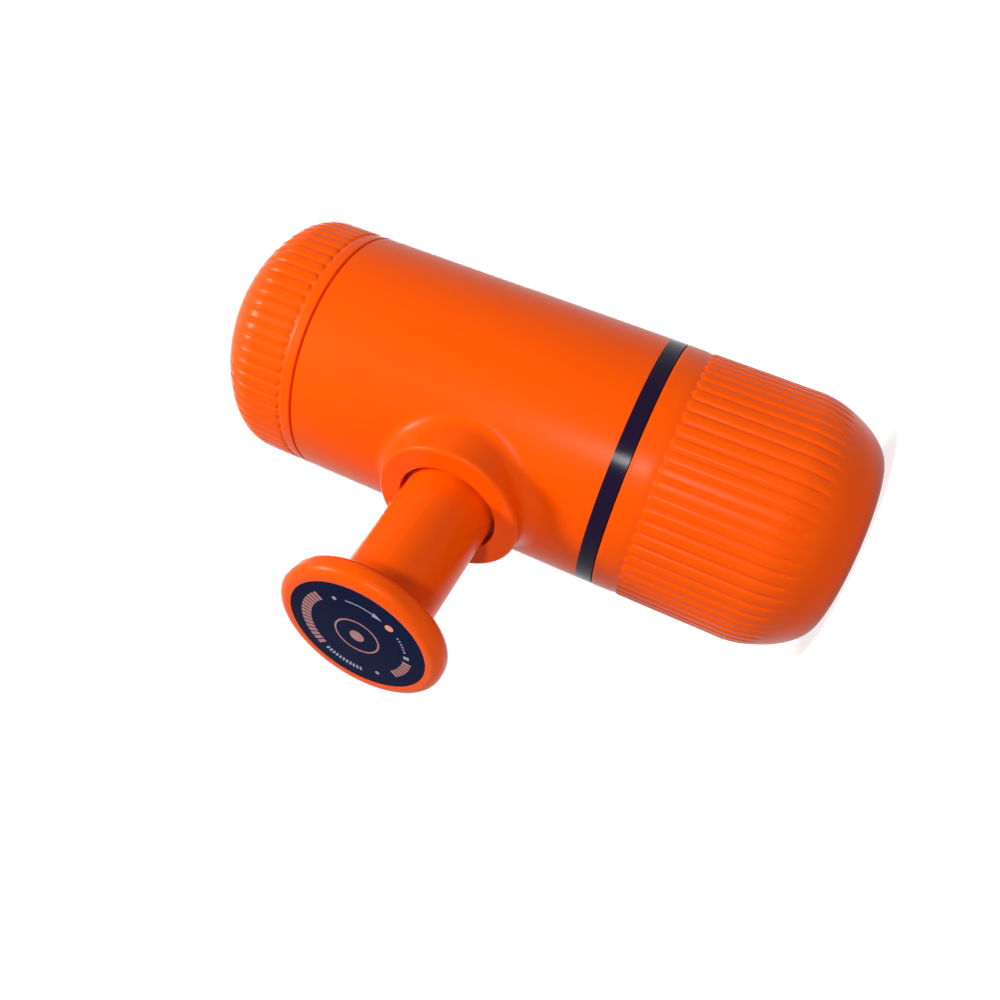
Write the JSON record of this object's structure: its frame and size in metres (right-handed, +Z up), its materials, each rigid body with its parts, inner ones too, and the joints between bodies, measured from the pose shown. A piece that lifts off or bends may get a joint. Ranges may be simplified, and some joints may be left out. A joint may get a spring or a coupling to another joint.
{
  "type": "handheld manual espresso maker",
  "caption": "Hand-pumped travel espresso maker: a capsule-shaped orange barrel with a ribbed screw-on water tank, a black band, a ribbed pull-off cup and a side piston with a round knob.",
  "frame": {"origin": "centre of the cup's flat base, which the whole maker stands on", "axes": "+Z up the barrel from the cup to the water tank, -Y out along the piston to its knob"},
  "size_m": [0.061, 0.104, 0.156],
  "materials": {
    "orange_plastic": "satin moulded",
    "collar_plastic": "glossy moulded",
    "inner_plastic": "fine textured moulded",
    "frame_plastic": "moulded",
    "label_print": "glossy printed disc",
    "steel": "turned",
    "spring_steel": "drawn wire",
    "seal_rubber": "moulded rubber",
    "silicone": "moulded silicone",
    "bush_plastic": "moulded bearing plastic",
    "wiper_silicone": "moulded silicone"
  },
  "bodies": {
    "barrel": {"body_shell": "orange_plastic", "brew_collar": "collar_plastic", "cup_seal_ring": "seal_rubber", "shower_screen": "steel", "screen_screw": "steel", "brew_gasket": "silicone", "return_spring": "spring_steel", "guide_bush": "bush_plastic", "wiper_ring": "wiper_silicone", "lock_ring": "steel", "pump_cylinder": "steel", "cylinder_ring": "seal_rubber", "pump_block": "frame_plastic", "inlet_seat": "silicone", "inlet_spring": "spring_steel", "outlet_seat": "silicone", "outlet_spring": "spring_steel", "inlet_tube": "frame_plastic", "outlet_tube": "frame_plastic", "inlet_strainer": "steel", "core_frame": "frame_plastic", "foot_screws": "steel", "socket_screws": "steel", "frame_screws": "steel", "tank_socket": "inner_plastic"},
    "cup": {"espresso_cup": "orange_plastic"},
    "basket": {"filter_basket": "steel"},
    "outlet": {"outlet_head": "inner_plastic", "spout_nozzle": "inner_plastic", "crema_spring": "spring_steel"},
    "crema_valve": {"crema_poppet": "silicone"},
    "tank_seal": {"tank_gasket": "silicone"},
    "tank": {"water_tank": "orange_plastic"},
    "plunger": {"plunger_rod": "steel", "plunger_seal": "seal_rubber", "spring_seat": "steel", "rod_screw": "steel"},
    "piston": {"piston_sleeve": "orange_plastic", "label_disc": "label_print"},
    "inlet_check": {"inlet_ball": "steel"},
    "outlet_check": {"outlet_ball": "steel"}
  },
  "joints": [
    {"name": "cup_pull", "type": "slide", "parent": "barrel", "child": "cup", "axis": [0, 0, -1], "range_m": [0, 0.04]},
    {"name": "outlet_travel", "type": "slide", "parent": "barrel", "child": "basket", "axis": [0, 0, -1], "range_m": [0, 0.00525]},
    {"name": "outlet_turn", "type": "hinge", "parent": "basket", "child": "outlet", "pos_m": [0, 0, 0.03], "axis": [0, 0, -1], "range_deg": [0, 540]},
    {"name": "crema_open", "type": "slide", "parent": "outlet", "child": "crema_valve", "axis": [0, 0, -1], "range_m": [0, 0.001], "stiffness_N_per_m": 60, "springref_m": -0.001, "deforming": ["crema_spring"]},
    {"name": "tank_travel", "type": "slide", "parent": "barrel", "child": "tank_seal", "axis": [0, 0, 1], "range_m": [0, 0.006]},
    {"name": "tank_turn", "type": "hinge", "parent": "tank_seal", "child": "tank", "pos_m": [0, 0, 0.13], "axis": [0, 0, 1], "range_deg": [0, 540]},
    {"name": "piston_press", "type": "slide", "parent": "barrel", "child": "plunger", "axis": [0, 1, 0], "range_m": [0, 0.0327], "stiffness_N_per_m": 250, "springref_m": -0.02, "deforming": ["return_spring"]},
    {"name": "knob_lock", "type": "hinge", "parent": "plunger", "child": "piston", "pos_m": [0, -0.05, 0.0835], "axis": [0, 1, 0], "range_deg": [0, 60]},
    {"name": "inlet_open", "type": "slide", "parent": "barrel", "child": "inlet_check", "axis": [0, 0, -1], "range_m": [0, 0.001], "stiffness_N_per_m": 30, "springref_m": -0.001, "deforming": ["inlet_spring"]},
    {"name": "outlet_open", "type": "slide", "parent": "barrel", "child": "outlet_check", "axis": [0, 0, -1], "range_m": [0, 0.001], "stiffness_N_per_m": 30, "springref_m": -0.001, "deforming": ["outlet_spring"]}
  ],
  "couplings": [
    {"joint": "outlet_travel", "follows": "outlet_turn", "m_per_rad": 0.00055704},
    {"joint": "tank_travel", "follows": "tank_turn", "m_per_rad": 0.00063662}
  ]
}
